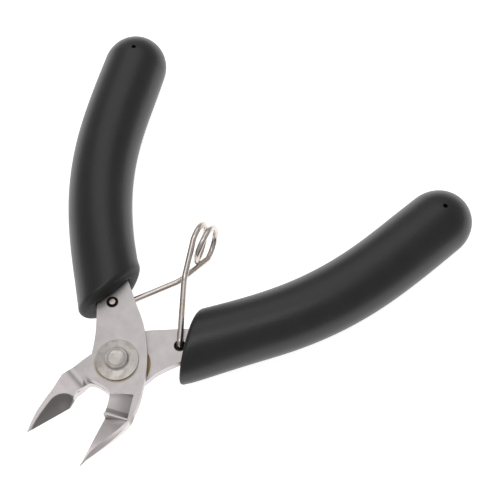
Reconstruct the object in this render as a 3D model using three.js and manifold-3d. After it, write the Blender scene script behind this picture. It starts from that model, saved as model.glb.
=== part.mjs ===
// Flush cutter with a lap joint: two steel halves on one rivet, a bent wire return spring
// and two moulded grips.
// Millimetres. +Y runs from the pivot to the handles, +Z from the rear half to the front half.
// Each half is drawn in its own closed position and then turned open about the pivot.
import * as THREE from "three";
import { mergeVertices } from "three/addons/utils/BufferGeometryUtils.js";
import Module from "manifold-3d";

const wasm = await Module();
wasm.setup();

const HALF_OPEN = THREE.MathUtils.degToRad(16.285); // each half's turn from closed to the relaxed position

// Steel halves
const PLATE_FACE = 2.55; // outer face of each plate, from the plane between the plates
const LAP = 0.1; // inner face of each plate, from the same plane
const TIP_Y = -26.2;
const CUT_SLOPE = 0.087; // sideways run of the cutting line per millimetre towards the pivot
const CUT_HALF_GAP = 0.06; // each edge's distance from the cutting line
const SHOULDER_R = 8.9; // the jaws are thicker than the plates outside this radius
const HEEL_Y = -13.3; // the cutting edges and the flush underside of the jaws start here
const HEEL_Z = -1.1;
const FLUSH_RISE = 0.23;
const RAMP_Y = -10; // the rear jaw's underside ramps up to the heel from here
const FRONT_NECK_Z = -0.3;
const NECK_RIM_X = 7.0; // the milled groove across the front neck stops here

// Pivot
const SHANK_R = 2.5;
const SHANK_CLEARANCE = 0.3;
const FLANGE_R = 5.15;
const BOSS_R = 2.75;
const REAR_RING_R = 4.9;
const REAR_RING_HEIGHT = 1.1;
const SEAT_GAP = 0.1;
const WASHER_R = 4.5;
const WASHER_THICKNESS = 0.25;
const RECESS_CENTRE = new THREE.Vector2(1.2, 0.9); // shallow turned recess in the rear plate
const RECESS_R = 6.2;
const RECESS_DEPTH = 0.5;

// Return spring
const WIRE_R = 0.75;
const WIRE_BEND = 1.2;
const HOLE_X = 6.1; // wire hole from the closed tool's middle line
const HOLE_Y = 14.0;
const HOLE_R = 1.35;
const FRONT_NECK = new THREE.Vector3(-0.3, 26.5, -1.4); // each leg runs level to its neck, then to the coil
const REAR_NECK = new THREE.Vector3(1.0, 27.0, 0.9);
const COIL_CENTRE = new THREE.Vector2(-0.6, 37.9);
const COIL_YAW = THREE.MathUtils.degToRad(11);
const COIL_R = 4.75;
const COIL_HALF_WIDTH = 1.7; // the legs cross, so the front leg meets the coil on its +X side

// Grips
const GRIP_START = new THREE.Vector2(-10.37, 21.2); // a point on the front grip's centre line
const GRIP_HEADING = THREE.MathUtils.degToRad(116.7);
const GRIP_TURN = THREE.MathUtils.degToRad(25.3);
const GRIP_BEND = 57.3; // the length over which the centre line turns
const GRIP_LENGTH = 75;
const GRIP_DOME = 9.5; // length of the rounded end
const GRIP_HALF_WIDTH = 8.0;
const GRIP_SWELL = 0.6; // extra half width at the end of the bend
const GRIP_FLATNESS = 0.94; // thickness over width
const MOUTH_OFFSET = -6.4; // the mouth's middle, along the centre line
const MOUTH_SLANT = 0.55;
const MOUTH_BOW = [0.025, 0.005]; // front and rear: how far the mouth's sides fall back, per mm²
const INNER_FLARE = [0.5, 0]; // front and rear: extra width of the mouth on the inner side
const OUTER_FLARE = [0, 1.2];
const FLARE_FADE = 12; // the flare has died out at this length
const VENT_S = 67.0;
const VENT_R = 0.55;
const TANG_LENGTH = 50;
const TANG_GAP = 0.3;

const STEEL = { color: 0xc6c0bf, roughness: 0.32, metalness: 1 };
const TURNED_STEEL = { color: 0xd0c9c4, roughness: 0.2, metalness: 1 };
const SPRING_STEEL = { color: 0xc9bfb8, roughness: 0.18, metalness: 1 };
const BRASS = { color: 0x8a7440, roughness: 0.35, metalness: 1 };
const FRONT_RUBBER = { color: 0x26282b, roughness: 0.62, metalness: 0 };
const REAR_RUBBER = { color: 0x17181a, roughness: 0.5, metalness: 0 };

const v3 = (x, y, z) => new THREE.Vector3(x, y, z);

// A solid from a closed geometry; side -1 gives its mirror image across the tool's middle plane.
function solidOf(geometry, side = 1) {
  const bare = geometry.clone().scale(side, 1, 1);
  bare.deleteAttribute("normal");
  bare.deleteAttribute("uv");
  const merged = mergeVertices(bare, 1e-4);
  const faces = new Uint32Array(merged.index.array);
  if (side < 0) faces.reverse();
  return new wasm.Manifold(
    new wasm.Mesh({
      numProp: 3,
      vertProperties: new Float32Array(merged.attributes.position.array),
      triVerts: faces,
    }),
  );
}

function geometryOf(solid) {
  const mesh = solid.getMesh();
  const geometry = new THREE.BufferGeometry();
  geometry.setAttribute("position", new THREE.BufferAttribute(mesh.vertProperties, 3));
  geometry.setIndex(new THREE.BufferAttribute(mesh.triVerts, 1));
  geometry.computeVertexNormals();
  return geometry;
}

// A closed body through rings of equal point counts, each ring convex.
function loft(rings) {
  const count = rings[0].length;
  const points = rings.flat();
  const faces = [];
  for (let r = 0; r + 1 < rings.length; r++) {
    for (let i = 0; i < count; i++) {
      const a = r * count + i;
      const b = r * count + ((i + 1) % count);
      faces.push(a, b, b + count, a, b + count, a + count);
    }
  }
  const last = (rings.length - 1) * count;
  for (let i = 1; i + 1 < count; i++) {
    faces.push(0, i + 1, i, last, last + i, last + i + 1);
  }
  const volume = faces.reduce((sum, _, i) => {
    if (i % 3) return sum;
    const [a, b, c] = [points[faces[i]], points[faces[i + 1]], points[faces[i + 2]]];
    return sum + a.dot(b.clone().cross(c));
  }, 0);
  if (volume < 0) faces.reverse();
  const geometry = new THREE.BufferGeometry().setFromPoints(points);
  geometry.setIndex(faces);
  return geometry;
}

function slab(shape, low, high, side = 1) {
  const options = { depth: high - low, bevelEnabled: false, curveSegments: 10 };
  return solidOf(new THREE.ExtrudeGeometry(shape, options).translate(0, 0, low), side);
}

// A body turned about Z, from a profile of radius and height that runs from its lowest point up.
function turned(profile, segments = 48, x = 0, y = 0) {
  const points = profile.map(([r, z]) => new THREE.Vector2(r, z));
  return solidOf(new THREE.LatheGeometry(points, segments).rotateX(Math.PI / 2).translate(x, y, 0));
}

function pin(radius, low, high, x = 0, y = 0, segments = 32) {
  return turned([[0, low], [radius, low], [radius, high], [0, high]], segments, x, y);
}

// Front grip's centre line, at a length s from its start: the point and the heading.
function gripLine(s) {
  const heading = (d) => GRIP_HEADING - GRIP_TURN * THREE.MathUtils.smoothstep(d, 0, GRIP_BEND);
  const steps = 60;
  const point = GRIP_START.clone();
  for (let i = 0; i < steps; i++) {
    const middle = heading((s * (i + 0.5)) / steps);
    point.x += (Math.cos(middle) * s) / steps;
    point.y += (Math.sin(middle) * s) / steps;
  }
  return { point, heading: heading(s) };
}

// A point at s along the grip and u to its inner side.
function besideGrip(s, u) {
  const { point, heading } = gripLine(s);
  return new THREE.Vector2(point.x + Math.sin(heading) * u, point.y - Math.cos(heading) * u);
}

function ribbon(from, to, startWidth, endWidth, steps = 14) {
  const at = (i) => from + ((to - from) * i) / steps;
  const width = (i) => startWidth + ((endWidth - startWidth) * i) / steps;
  const inner = Array.from({ length: steps + 1 }, (_, i) => besideGrip(at(i), width(i)));
  const outer = Array.from({ length: steps + 1 }, (_, i) => besideGrip(at(i), -width(i)));
  return new THREE.Shape([...inner, ...outer.reverse()]);
}

// Plate outline of the front half, closed position, from the neck to the root of the tang.
function frontOutline() {
  const shape = new THREE.Shape();
  shape.moveTo(1.5, HEEL_Y);
  shape.lineTo(7.65, HEEL_Y);
  shape.splineThru([
    new THREE.Vector2(8.2, -8),
    new THREE.Vector2(7.15, 0.6),
    new THREE.Vector2(3.75, 9.3),
    new THREE.Vector2(-0.7, 15.6),
    new THREE.Vector2(-4.4, 20.7),
  ]);
  shape.lineTo(-7, 26);
  shape.lineTo(-13.2, 21);
  shape.lineTo(-9.7, 13.1);
  shape.splineThru([
    new THREE.Vector2(-7.4, 5.6),
    new THREE.Vector2(-6.4, 0),
    new THREE.Vector2(-6.1, -4.9),
  ]);
  shape.quadraticCurveTo(-6.1, -5.9, -5, -6);
  shape.lineTo(-2.9, -6.4);
  shape.quadraticCurveTo(0.9, -7.2, 1.1, -8.6);
  shape.lineTo(1.5, HEEL_Y);
  return shape;
}

// Plate outline of the rear half, closed position: the jaw side is narrower than the front half's.
function rearOutline() {
  const shape = new THREE.Shape();
  shape.moveTo(-0.7, -11.6);
  shape.lineTo(-0.85, -8.6);
  shape.quadraticCurveTo(-0.7, -7.2, 2.9, -6.4);
  shape.lineTo(4.8, -6);
  shape.quadraticCurveTo(6.2, -5.8, 6.6, -4.4);
  shape.splineThru([
    new THREE.Vector2(7.7, 2.1),
    new THREE.Vector2(7.9, 6),
    new THREE.Vector2(9.7, 12.6),
  ]);
  shape.lineTo(13.2, 21);
  shape.lineTo(7, 26);
  shape.lineTo(5.6, 20.2);
  shape.splineThru([
    new THREE.Vector2(0.9, 14.5),
    new THREE.Vector2(-3.1, 9),
    new THREE.Vector2(-5.9, 0.6),
    new THREE.Vector2(-6.6, -6),
  ]);
  shape.lineTo(-6.4, -11.6);
  shape.lineTo(-0.7, -11.6);
  return shape;
}

const cutX = (y) => (y - TIP_Y) * CUT_SLOPE;
const flushZ = (y) => HEEL_Z + FLUSH_RISE * (HEEL_Y - y);
const rampZ = (y) => THREE.MathUtils.mapLinear(y, RAMP_Y, HEEL_Y, -PLATE_FACE, HEEL_Z);
const undersideZ = (y) => (y > RAMP_Y ? -PLATE_FACE : y > HEEL_Y ? rampZ(y) : flushZ(y));

// Front blade: a flat inner bevel and an outer bevel that meet in a ridge.
function frontBlade() {
  const land = 0.18;
  // y, ridge x, ridge z, outer x, height of the outer wall
  const stations = [
    [HEEL_Y, 7.2, PLATE_FACE, 7.55, 3.2],
    [-15.2, 6.15, 2.5, 6.85, 2.1],
    [-18.3, 4.05, 2.42, 5.15, 1.3],
    [-20.5, 2.5, 2.36, 3.75, 0.95],
    [-22.5, 1.3, 2.3, 2.4, 0.65],
    [-24.6, 0.6, 2.25, 0.95, 0.4],
    [TIP_Y, 0.16, 2.1, 0.26, 0.15],
  ];
  return loft(
    stations.map(([y, ridgeX, ridgeZ, outerX, wall]) => {
      const edge = cutX(y) + CUT_HALF_GAP;
      const low = flushZ(y);
      return [
        v3(edge, y, low),
        v3(outerX, y, low),
        v3(outerX, y, low + wall),
        v3(ridgeX, y, ridgeZ),
        v3(edge, y, low + land),
      ];
    }),
  );
}

// Root of the front blade, from the shoulder to the heel.
function frontNeck() {
  const ring = (y, left, right, low) => [
    v3(left, y, low),
    v3(right, y, low),
    v3(right, y, PLATE_FACE),
    v3(left, y, PLATE_FACE),
  ];
  return loft([
    ring(-7.0, 1.1, 8.15, FRONT_NECK_Z),
    ring(-12.4, 1.5, 7.85, FRONT_NECK_Z),
    ring(HEEL_Y - 0.02, cutX(HEEL_Y) + CUT_HALF_GAP, 7.55, HEEL_Z),
  ]);
}

// Rear blade and its ramp up from the plate, before it is hollow ground.
function rearBlade() {
  const throat = (y) => -0.7 + ((-11.6 - y) / 3.6) * (cutX(-15.2) + 0.64);
  const inner = (y) => (y > -15.2 ? throat(y) : cutX(y) - CUT_HALF_GAP);
  const stations = [
    [-7.6, -6.6, -0.85, -LAP],
    [-8.5, -6.6, -0.85, -LAP],
    [RAMP_Y, -6.5, -0.8, 0.59],
    [-11.6, -6.4, -0.7, 1.3],
    [HEEL_Y, -5.8, inner(HEEL_Y), 1.4],
    [-15.2, -5.0, inner(-15.2), 1.5],
    [-18.6, -3.95, inner(-18.6), 1.68],
    [-21.6, -2.85, inner(-21.6), 1.84],
    [-24.2, -1.45, inner(-24.2), 1.98],
    [TIP_Y, -0.2, inner(TIP_Y), 2.06],
  ];
  return loft(
    stations.map(([y, outer, innerX, top]) => [
      v3(outer, y, undersideZ(y)),
      v3(innerX, y, undersideZ(y)),
      v3(innerX, y, top),
      v3(outer, y, top),
    ]),
  );
}

// Round-nosed cutter that leaves the hollow-ground bevel of the rear blade.
function hollowCutter() {
  const radius = 4.5;
  const start = v3(0.45, -16.4, 4.25);
  const end = v3(2.1, -28.4, 7.0);
  const geometry = new THREE.CapsuleGeometry(radius, start.distanceTo(end), 10, 48);
  const turn = new THREE.Quaternion().setFromUnitVectors(v3(0, 1, 0), end.clone().sub(start).normalize());
  geometry.applyQuaternion(turn);
  const middle = start.clone().add(end).multiplyScalar(0.5);
  return solidOf(geometry.translate(middle.x, middle.y, middle.z));
}

// Milled groove in the neck of the front half; it stops at a rim on the outer side.
function neckGroove() {
  const radius = 5.5;
  const depth = 0.74; // at the middle of the neck; the groove deepens and widens to the outer side
  const length = 20;
  const geometry = new THREE.CylinderGeometry(radius, radius, length, 64);
  geometry.rotateZ(Math.PI / 2).translate(NECK_RIM_X - 4.6 - length / 2, 0, 0);
  geometry.rotateY(0.05).rotateZ(0.09);
  return solidOf(geometry.translate(4.6, -10.2, PLATE_FACE + radius - depth));
}

const outsideShoulder = (solid) => solid.subtract(pin(SHOULDER_R, -10, -LAP, 0, 0, 64));

function frontJawPlate() {
  const tang = slab(ribbon(-2, TANG_LENGTH, 4.4, 2.6), LAP, PLATE_FACE);
  const plate = slab(frontOutline(), LAP, PLATE_FACE).add(tang);
  const neck = outsideShoulder(solidOf(frontNeck())).subtract(pin(SHOULDER_R, -LAP - 0.01, LAP, 0, 0, 64));
  return plate
    .add(neck)
    .add(solidOf(frontBlade()))
    .subtract(neckGroove())
    .subtract(pin(SHANK_R + SHANK_CLEARANCE, -1, 4))
    .subtract(pin(HOLE_R, -1, 4, -HOLE_X, HOLE_Y));
}

function rearJawPlate() {
  const tang = slab(ribbon(-2, TANG_LENGTH, 4.4, 2.6), -PLATE_FACE, -LAP, -1);
  const aboveLap = solidOf(new THREE.BoxGeometry(40, 40, 20).translate(0, 0, 10 - LAP - 0.005));
  const overPlate = pin(SHOULDER_R, -LAP - 0.005, 10, 0, 0, 64).intersect(aboveLap);
  return slab(rearOutline(), -PLATE_FACE, -LAP)
    .add(tang)
    .add(solidOf(rearBlade()).subtract(overPlate))
    .subtract(hollowCutter())
    .subtract(pin(RECESS_R, -LAP - RECESS_DEPTH, 0, RECESS_CENTRE.x, RECESS_CENTRE.y, 64))
    .subtract(pin(SHANK_R + SHANK_CLEARANCE, -4, 1))
    .subtract(pin(HOLE_R, -4, 1, HOLE_X, HOLE_Y));
}

function pivotRivet() {
  const seat = PLATE_FACE + SEAT_GAP;
  return turned([
    [0, -PLATE_FACE - SEAT_GAP],
    [SHANK_R, -PLATE_FACE - SEAT_GAP],
    [SHANK_R, seat],
    [FLANGE_R, seat],
    [FLANGE_R, seat + 0.25],
    [BOSS_R + 0.1, seat + 0.75],
    [BOSS_R, seat + 0.85],
    [BOSS_R - 0.15, seat + 1.7],
    [BOSS_R - 0.4, seat + 1.9],
    [1.7, seat + 1.6],
    [0, seat + 1.5],
  ]);
}

function rearRivetHead() {
  const seat = -PLATE_FACE - SEAT_GAP - 0.1;
  return turned([
    [0, seat - REAR_RING_HEIGHT],
    [REAR_RING_R - 0.9, seat - REAR_RING_HEIGHT],
    [REAR_RING_R, seat - 0.35],
    [REAR_RING_R, seat],
    [0, seat],
  ]);
}

function frictionWasher() {
  const floor = -LAP - RECESS_DEPTH + SEAT_GAP;
  return pin(WASHER_R, floor, floor + WASHER_THICKNESS, 0, 0, 64).subtract(
    pin(SHANK_R + 0.4, floor - 1, floor + 1),
  );
}

const openedX = (side) => side * (HOLE_X * Math.cos(HALF_OPEN) + HOLE_Y * Math.sin(HALF_OPEN));
const openedY = HOLE_Y * Math.cos(HALF_OPEN) - HOLE_X * Math.sin(HALF_OPEN);

// One continuous wire: front leg, coil about a crosswise axis, rear leg.
function springPath() {
  const path = new THREE.CurvePath();
  const bendThrough = (points) => {
    let from = points[0];
    points.slice(1, -1).forEach((corner, i) => {
      const before = corner.clone().sub(points[i]).normalize();
      const after = points[i + 2].clone().sub(corner).normalize();
      const enter = corner.clone().addScaledVector(before, -WIRE_BEND);
      const leave = corner.clone().addScaledVector(after, WIRE_BEND);
      path.add(new THREE.LineCurve3(from, enter));
      path.add(new THREE.QuadraticBezierCurve3(enter, corner, leave));
      from = leave;
    });
    path.add(new THREE.LineCurve3(from, points[points.length - 1]));
  };
  const forward = new THREE.Vector2(-Math.sin(COIL_YAW), Math.cos(COIL_YAW));
  const tangentAngle = (neck) => {
    const along = new THREE.Vector2(neck.x, neck.y).sub(COIL_CENTRE).dot(forward);
    return Math.atan2(Math.abs(neck.z), along) - Math.acos(COIL_R / Math.hypot(along, neck.z));
  };
  const sweep = tangentAngle(FRONT_NECK) + 2 * Math.PI + tangentAngle(REAR_NECK);
  const onCoil = (t) => {
    const angle = sweep * t - tangentAngle(FRONT_NECK);
    const along = COIL_R * Math.cos(angle);
    const across = COIL_HALF_WIDTH * Math.cos(Math.PI * t);
    const x = COIL_CENTRE.x + along * forward.x + across * forward.y;
    const y = COIL_CENTRE.y + along * forward.y - across * forward.x;
    return v3(x, y, COIL_R * Math.sin(angle));
  };
  const steps = 40;
  const coil = Array.from({ length: steps + 1 }, (_, i) => onCoil(i / steps));
  bendThrough([
    v3(openedX(-1), openedY, PLATE_FACE + 0.25),
    v3(openedX(-1), openedY, FRONT_NECK.z),
    FRONT_NECK,
    coil[0],
  ]);
  path.add(new THREE.CatmullRomCurve3(coil));
  bendThrough([
    coil[steps],
    REAR_NECK,
    v3(openedX(1), openedY, REAR_NECK.z),
    v3(openedX(1), openedY, -PLATE_FACE - 0.25),
  ]);
  return path;
}

function returnSpring() {
  const section = new THREE.Shape().absarc(0, 0, WIRE_R, 0, 2 * Math.PI);
  const options = { extrudePath: springPath(), steps: 170, curveSegments: 5, bevelEnabled: false };
  return solidOf(new THREE.ExtrudeGeometry(section, options));
}

// An oval sleeve along the grip's centre line, with a slanted mouth and a domed end.
function gripSleeve(side) {
  const around = 32;
  const rows = 30;
  const halfWidth = (s) => {
    const dome = Math.max(0, (s - (GRIP_LENGTH - GRIP_DOME)) / GRIP_DOME);
    const body = GRIP_HALF_WIDTH + GRIP_SWELL * Math.min(1, Math.max(0, s) / GRIP_BEND);
    return body * Math.sqrt(Math.max(0.004, 1 - dome ** 2.1));
  };
  const half = side > 0 ? 0 : 1;
  const flared = (s, angle) => {
    const flare = Math.cos(angle) > 0 ? INNER_FLARE[half] : OUTER_FLARE[half];
    const fade = 1 - THREE.MathUtils.smoothstep(s, MOUTH_OFFSET - 5, FLARE_FADE);
    return Math.cos(angle) * (halfWidth(s) + flare * fade * Math.abs(Math.cos(angle)));
  };
  const rings = [];
  for (let row = 0; row <= rows; row++) {
    const t = row / rows;
    const along = Math.sin((t * Math.PI) / 2) ** 0.9;
    const ring = [];
    for (let i = 0; i < around; i++) {
      const angle = (2 * Math.PI * i) / around;
      const aside = flared(MOUTH_OFFSET, angle);
      const mouth = MOUTH_OFFSET + MOUTH_SLANT * aside + MOUTH_BOW[half] * aside ** 2;
      const s = mouth + (GRIP_LENGTH - mouth) * along;
      const w = halfWidth(s);
      const flat = besideGrip(s, flared(s, angle));
      ring.push(v3(flat.x, flat.y, w * GRIP_FLATNESS * Math.sin(angle)));
    }
    rings.push(ring);
  }
  return solidOf(loft(rings), side);
}

// The front grip is on side 1 and the rear grip on side -1; each is cut to take its plate's tang.
function grip(side) {
  const low = (side > 0 ? LAP : -PLATE_FACE) - TANG_GAP;
  const high = (side > 0 ? PLATE_FACE : -LAP) + TANG_GAP;
  const vent = besideGrip(VENT_S, 0);
  return gripSleeve(side)
    .subtract(slab(ribbon(-12, TANG_LENGTH + TANG_GAP, 6.4, 3.1), low, high, side))
    .subtract(pin(VENT_R, 4.5, 12, side * vent.x, vent.y, 12));
}

function addMesh(group, name, solid, finish) {
  const mesh = new THREE.Mesh(geometryOf(solid), new THREE.MeshStandardMaterial(finish));
  mesh.name = name;
  group.add(mesh);
}

const cutter = new THREE.Group();
cutter.position.z = PLATE_FACE + SEAT_GAP + 0.1 + REAR_RING_HEIGHT; // the rear rivet face is at z = 0

const frontHalf = new THREE.Group();
frontHalf.rotation.z = HALF_OPEN;
addMesh(frontHalf, "front_jaw_plate", frontJawPlate(), STEEL);
addMesh(frontHalf, "front_grip", grip(1), FRONT_RUBBER);

const rearHalf = new THREE.Group();
rearHalf.rotation.z = -HALF_OPEN;
addMesh(rearHalf, "rear_jaw_plate", rearJawPlate(), STEEL);
addMesh(rearHalf, "rear_grip", grip(-1), REAR_RUBBER);

cutter.add(frontHalf, rearHalf);
addMesh(cutter, "pivot_rivet", pivotRivet(), TURNED_STEEL);
addMesh(cutter, "rear_rivet_head", rearRivetHead(), TURNED_STEEL);
addMesh(cutter, "friction_washer", frictionWasher(), BRASS);
addMesh(cutter, "return_spring", returnSpring(), SPRING_STEEL);

const root = new THREE.Group();
root.add(cutter);
export default root;
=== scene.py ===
"""Flush cutter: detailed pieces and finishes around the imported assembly.

Each half of the tool is described in its own closed position and then turned open about the pivot,
so the same numbers serve both halves. Lengths in the functions are millimetres unless they say otherwise.
"""

import math

import bmesh
import bpy
from bpy.props import FloatProperty, FloatVectorProperty, IntProperty, PointerProperty
from mathutils import Matrix, Vector


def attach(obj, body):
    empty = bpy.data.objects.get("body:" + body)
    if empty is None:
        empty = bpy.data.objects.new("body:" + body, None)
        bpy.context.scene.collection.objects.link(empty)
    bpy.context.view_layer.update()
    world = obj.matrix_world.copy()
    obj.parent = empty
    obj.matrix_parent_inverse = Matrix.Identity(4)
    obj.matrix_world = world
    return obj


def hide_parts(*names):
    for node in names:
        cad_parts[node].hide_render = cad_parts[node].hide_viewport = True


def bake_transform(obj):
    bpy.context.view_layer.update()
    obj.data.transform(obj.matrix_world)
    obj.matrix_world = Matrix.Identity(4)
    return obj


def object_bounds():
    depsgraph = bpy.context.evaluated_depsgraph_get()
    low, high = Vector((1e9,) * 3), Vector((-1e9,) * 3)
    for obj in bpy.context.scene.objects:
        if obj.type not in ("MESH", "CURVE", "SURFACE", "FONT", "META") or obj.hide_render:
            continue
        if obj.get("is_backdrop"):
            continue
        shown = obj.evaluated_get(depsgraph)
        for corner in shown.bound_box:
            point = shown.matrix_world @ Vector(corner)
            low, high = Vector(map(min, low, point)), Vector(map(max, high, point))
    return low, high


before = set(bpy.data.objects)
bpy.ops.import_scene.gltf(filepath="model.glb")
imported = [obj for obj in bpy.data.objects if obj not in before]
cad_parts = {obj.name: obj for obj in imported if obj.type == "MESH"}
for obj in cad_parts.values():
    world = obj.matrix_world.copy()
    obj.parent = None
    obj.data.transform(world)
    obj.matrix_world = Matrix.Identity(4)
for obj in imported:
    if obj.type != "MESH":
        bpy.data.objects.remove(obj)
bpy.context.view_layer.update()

bl_info = {
    "name": "Flush Cutter",
    "version": (1, 0, 0),
    "blender": (4, 5, 0),
    "location": "View3D > Sidebar > Flush Cutter",
    "description": "Builds the plates, grips, rivet and return spring of a flush cutter",
    "category": "Object",
}

MM = 0.001
FRONT = 1
REAR = -1
BODY = {FRONT: "front_half", REAR: "rear_half"}
SIDE_NAME = {FRONT: "front", REAR: "rear"}

# Steel halves
HALF_OPEN = math.radians(16.285)
PLATE_FACE = 2.55  # a plate's outer face, from the plane between the plates
LAP = 0.1  # a plate's inner face, from the same plane
PLANE_HEIGHT = 3.85  # the plane between the plates, above the rear rivet face
RECESS_CENTRE = Vector((1.2, 0.9))
RECESS_R = 6.2
RECESS_FLOOR = -0.75
HEEL_Y = -13.3  # where the blades start
REAR_TOP_Y = -11.6
REAR_TOP_Z = 1.3  # the rear blade's top at REAR_TOP_Y
REAR_TOP_RISE = 0.052  # how much that top rises for each millimetre towards the tip
GROOVE_Y = -6.0  # past this, what lies under the front plate's outer face is its groove
LAND_WIDTH = 1.7  # the band between the groove and the heel, painted dark as shade

# Spring
HOLE_X = 6.1
HOLE_R = 1.35
HOLE_Y = 14.0
WIRE_CLEARANCE_R = 0.79
WIRE_BEND = 1.2
WIRE_END_REACH = 0.25
RING_SPACING = 0.28
FRONT_NECK = Vector((-0.3, 26.5, -1.4))
REAR_NECK = Vector((1.0, 27.0, 0.9))
COIL_CENTRE = Vector((-0.6, 37.9))
COIL_YAW = math.radians(11)
COIL_R = 4.75
COIL_HALF_WIDTH = 1.7

# Grips
GRIP_START = Vector((-10.37, 21.2))
GRIP_HEADING = math.radians(116.7)
GRIP_TURN = math.radians(25.3)
GRIP_BEND = 57.3
GRIP_LENGTH = 75.0
GRIP_DOME = 9.5
DOME_POWER = 2.1
MOUTH_OFFSET = -6.4
MOUTH_SLANT = 0.55
MOUTH_BOW = {FRONT: 0.025, REAR: 0.005}
MOUTH_SWELL = 0.35
INNER_FLARE = {FRONT: 0.5, REAR: 0.0}
OUTER_FLARE = {FRONT: 0.0, REAR: 1.2}
FLARE_START = MOUTH_OFFSET - 5.0
FLARE_FADE = 12.0
SLOT_END = 50.3
SLOT_MARGIN = 0.3
SLOT_INNER_HALF = 5.4  # half width of the slot at its mouth, on the grip's inner side
SLOT_OUTER_HALF = 3.5
TANG_HALF = 4.4
TANG_TAPER = 1.8  # how much narrower half the tang is at its end
VENT_S = 67.0
VENT_Z = 8.5
VENT_DEPTH = 8.0
GRIP_SIDES = 72
SLOT_RINGS = (1.0, 0.85, 0.6, 0.35, 0.15, 0.05, 0.012, 0.0)
MOUTH_RINGS = (0.06, 0.3, 0.6, 0.9, 1.0)
LIP_RINGS = 7
WALL_RINGS = 84

# Rivet
SEAT_GAP = 0.1
REAR_HEAD_HEIGHT = 1.1
TURNED_EASE = 0.16  # how far the corners of turned profiles are rounded

# Rivet, heights over the flange's seat
FLANGE_RIM = 0.26
CONE_TOP = 0.74
BOSS_FOOT = 0.86
BOSS_SHOULDER = 1.66
BOSS_TOP = 1.9
DISH_RIM = 1.54
DISH_FLOOR = 1.5

# Mesh work, with the gaps in metres
MERGE_GAP = 1e-7
CAD_MERGE_GAP = 2e-6
FLAT_ANGLE = math.radians(0.6)  # faces closer than this in slope become one
EDGE_ANGLE = math.radians(32)  # convex edges sharper than this are rounded
CREASE_ANGLE = math.radians(35)

# Shades of dirt, wear and small parts, and painted shade for corners, wire holes, the land and the grips'
# mouths
PIT = (0.12, 0.11, 0.105)
HOLE_SHADE = (0.03, 0.028, 0.026)
DARK_GRAIN = (0.2, 0.18, 0.18)
CORNER_SHADE = (0.09, 0.08, 0.075)
LAND_SHADE = (0.16, 0.14, 0.135)
BRONZE = (0.32, 0.22, 0.08)
OLD_BRONZE = (0.2, 0.14, 0.06)
WET_GREASE_SHADE = (0.008, 0.007, 0.006)
DRY_GREASE_SHADE = (0.03, 0.024, 0.016)
SCUFF = (0.035, 0.035, 0.037)
MOUTH_SHADE = (0.006, 0.006, 0.0065)

# Stage
FLOOR_HALF = 3000.0
FLOOR_GAP = 0.2
CAMERA_PLACE = Vector((72.3, -56.65, 224.28))  # from the pivot's axis at the plane between the plates
CAMERA_BACK = Vector((0.2446, -0.3927, 0.8866))
SENSOR_WIDTH = 36.0
LIGHT_AIM_Y = 35.0


# ---------------------------------------------------------------- settings


def length(name, text, default, low=0.0, high=0.1):
    """A length property in metres, with its default given in millimetres."""
    return FloatProperty(
        name=name, description=text, default=default * MM, min=low, max=high, precision=5, unit="LENGTH"
    )


def colour(name, text, default):
    """A colour property."""
    return FloatVectorProperty(
        name=name, description=text, default=default, size=3, min=0.0, max=1.0, subtype="COLOR"
    )


def share(name, text, default):
    """A property from 0 to 1."""
    return FloatProperty(name=name, description=text, default=default, min=0.0, max=1.0, subtype="FACTOR")


class CutterPlateSettings(bpy.types.PropertyGroup):
    edge_radius: length("Edge radius", "How far the tumbled edges of the plates are rounded", 0.1)
    steel: colour("Steel", "Colour of the satin plates", (0.58, 0.543, 0.54))
    ground: colour("Ground steel", "Colour of the ground facets of the blades", (0.68, 0.635, 0.63))
    film: colour("Grease film", "Colour of the old grease in the turned recess", (0.27, 0.185, 0.05))
    roughness: share("Roughness", "Roughness of the satin plates", 0.34)


class CutterGripSettings(bpy.types.PropertyGroup):
    half_width: length("Half width", "Half the width of a grip at its mouth", 8.0)
    swell: length("Swell", "Extra half width towards the end of a grip", 0.6)
    flatness: share("Flatness", "Thickness of a grip over its width", 0.94)
    lip: length("Lip radius", "Radius of the rounded lip of the mouth", 1.3)
    vent_radius: length("Vent radius", "Radius of the vent hole near the end", 0.55)
    rubber: colour("Rubber", "Colour of the moulded rubber", (0.0065, 0.0067, 0.0085))
    roughness: share("Roughness", "Roughness of the moulded rubber", 0.37)


class CutterRivetSettings(bpy.types.PropertyGroup):
    shank_radius: length("Shank radius", "Radius of the rivet's shank", 2.5)
    flange_radius: length("Flange radius", "Radius of the conical flange", 5.15)
    boss_radius: length("Boss radius", "Radius of the raised boss", 2.75)
    ring_radius: length("Rear radius", "Radius of the rear head", 4.9)
    steel: colour("Turned steel", "Colour of the turned steel", (0.64, 0.61, 0.585))
    roughness: share("Roughness", "Roughness of the turned steel", 0.42)


class CutterSpringSettings(bpy.types.PropertyGroup):
    wire_radius: length("Wire radius", "Radius of the spring wire", 0.75)
    sides: IntProperty(name="Sides", description="Sides of the wire's section", default=24, min=6, max=64)
    steel: colour("Drawn steel", "Colour of the bright drawn wire", (0.66, 0.6, 0.57))
    roughness: share("Roughness", "Roughness of the drawn wire", 0.24)


class CutterStageSettings(bpy.types.PropertyGroup):
    floor: colour("Floor", "Colour of the plain floor", (0.96, 0.96, 0.96))
    floor_glow: share("Floor glow", "Light that the floor gives, which keeps it pale", 0.8)
    room: share("Room light", "Even light from all round", 0.42)
    key: FloatProperty(
        name="Soft light", description="Power that the soft lights share", default=1.6, min=0.0, unit="POWER"
    )
    lens: FloatProperty(
        name="Lens", description="Focal length in millimetres", default=72.0, min=10.0, max=300.0
    )


class CutterSettings(bpy.types.PropertyGroup):
    plates: PointerProperty(type=CutterPlateSettings, name="Plates")
    grips: PointerProperty(type=CutterGripSettings, name="Grips")
    rivet: PointerProperty(type=CutterRivetSettings, name="Rivet")
    spring: PointerProperty(type=CutterSpringSettings, name="Spring")
    stage: PointerProperty(type=CutterStageSettings, name="Stage")


# ---------------------------------------------------------------- finishes


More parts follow.
